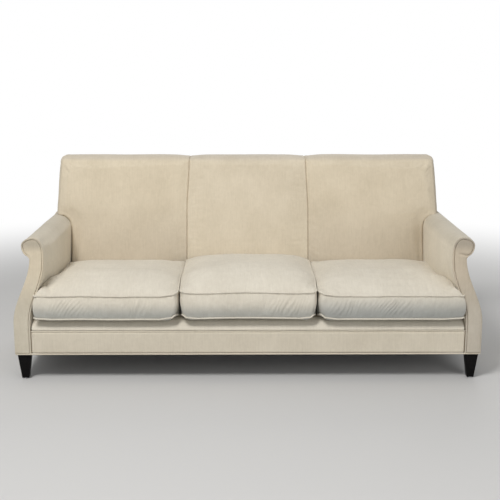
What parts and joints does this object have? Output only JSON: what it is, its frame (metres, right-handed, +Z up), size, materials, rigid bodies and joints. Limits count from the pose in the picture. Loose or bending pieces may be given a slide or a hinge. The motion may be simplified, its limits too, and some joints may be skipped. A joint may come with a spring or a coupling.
{
  "type": "three-seater sofa",
  "caption": "Upholstered sofa with a tight panelled back, scroll arms with shaped facings, loose crowned seat cushions and square tapered legs.",
  "frame": {"origin": "on the floor under the middle of the sofa's overall box", "axes": "+X along the sofa, to the right as seen from the front; +Y to the back; +Z up"},
  "size_m": [2.1, 0.82, 0.941],
  "materials": {
    "upholstery": "off-white brushed cotton velvet with a soft vertical nap",
    "foam": "cut upholstery foam with fibre wrap",
    "frame_wood": "sawn hardwood and plywood, unfinished",
    "black_wood": "black satin lacquer",
    "steel": "bright zinc",
    "webbing": "woven elastic webbing",
    "lining": "thin black lining cloth",
    "zip_tape": "woven zip tape with nylon teeth"
  },
  "bodies": {
    "sofa": {"front_seat_rail": "frame_wood", "rear_seat_rail": "frame_wood", "side_seat_rails": "frame_wood", "seat_stretchers": "frame_wood", "corner_blocks": "frame_wood", "front_arm_stumps": "frame_wood", "rear_arm_stumps": "frame_wood", "arm_rails": "frame_wood", "back_posts": "frame_wood", "back_uprights": "frame_wood", "back_top_rail": "frame_wood", "back_lower_rail": "frame_wood", "seat_springs": "steel", "spring_clips": "steel", "back_webbing": "webbing", "deck_pad": "foam", "deck_cover": "upholstery", "front_edge_roll": "upholstery", "front_border": "upholstery", "border_seam_cord": "upholstery", "base_welt": "upholstery", "dust_cover": "lining", "left_arm_padding": "foam", "right_arm_padding": "foam", "left_arm_cover": "upholstery", "right_arm_cover": "upholstery", "left_outer_arm_panel": "upholstery", "right_outer_arm_panel": "upholstery", "left_facing": "upholstery", "right_facing": "upholstery", "left_facing_welt": "upholstery", "right_facing_welt": "upholstery", "left_back_foam": "foam", "middle_back_foam": "foam", "right_back_foam": "foam", "left_back_cover": "upholstery", "middle_back_cover": "upholstery", "right_back_cover": "upholstery", "back_side_panels": "upholstery", "outside_back_cover": "upholstery", "front_left_leg": "black_wood", "front_right_leg": "black_wood", "rear_left_leg": "black_wood", "rear_right_leg": "black_wood", "leg_fittings": "steel"},
    "left_cushion": {"left_cushion_core": "foam", "left_cushion_cover": "upholstery", "left_cushion_welts": "upholstery", "left_zip": "zip_tape"},
    "left_zip_slider": {"left_zip_slider": "steel"},
    "middle_cushion": {"middle_cushion_core": "foam", "middle_cushion_cover": "upholstery", "middle_cushion_welts": "upholstery", "middle_zip": "zip_tape"},
    "middle_zip_slider": {"middle_zip_slider": "steel"},
    "right_cushion": {"right_cushion_core": "foam", "right_cushion_cover": "upholstery", "right_cushion_welts": "upholstery", "right_zip": "zip_tape"},
    "right_zip_slider": {"right_zip_slider": "steel"}
  },
  "joints": [
    {"name": "left_cushion_pull", "type": "slide", "parent": "sofa", "child": "left_cushion", "axis": [0, -0.9848, 0.1736], "range_m": [0, 0.6]},
    {"name": "left_zip_slide", "type": "slide", "parent": "left_cushion", "child": "left_zip_slider", "axis": [1, 0, 0], "range_m": [0, 0.4]},
    {"name": "middle_cushion_pull", "type": "slide", "parent": "sofa", "child": "middle_cushion", "axis": [0, -0.9848, 0.1736], "range_m": [0, 0.6]},
    {"name": "middle_zip_slide", "type": "slide", "parent": "middle_cushion", "child": "middle_zip_slider", "axis": [-1, 0, 0], "range_m": [0, 0.45]},
    {"name": "right_cushion_pull", "type": "slide", "parent": "sofa", "child": "right_cushion", "axis": [0, -0.9848, 0.1736], "range_m": [0, 0.6]},
    {"name": "right_zip_slide", "type": "slide", "parent": "right_cushion", "child": "right_zip_slider", "axis": [-1, 0, 0], "range_m": [0, 0.4]}
  ]
}
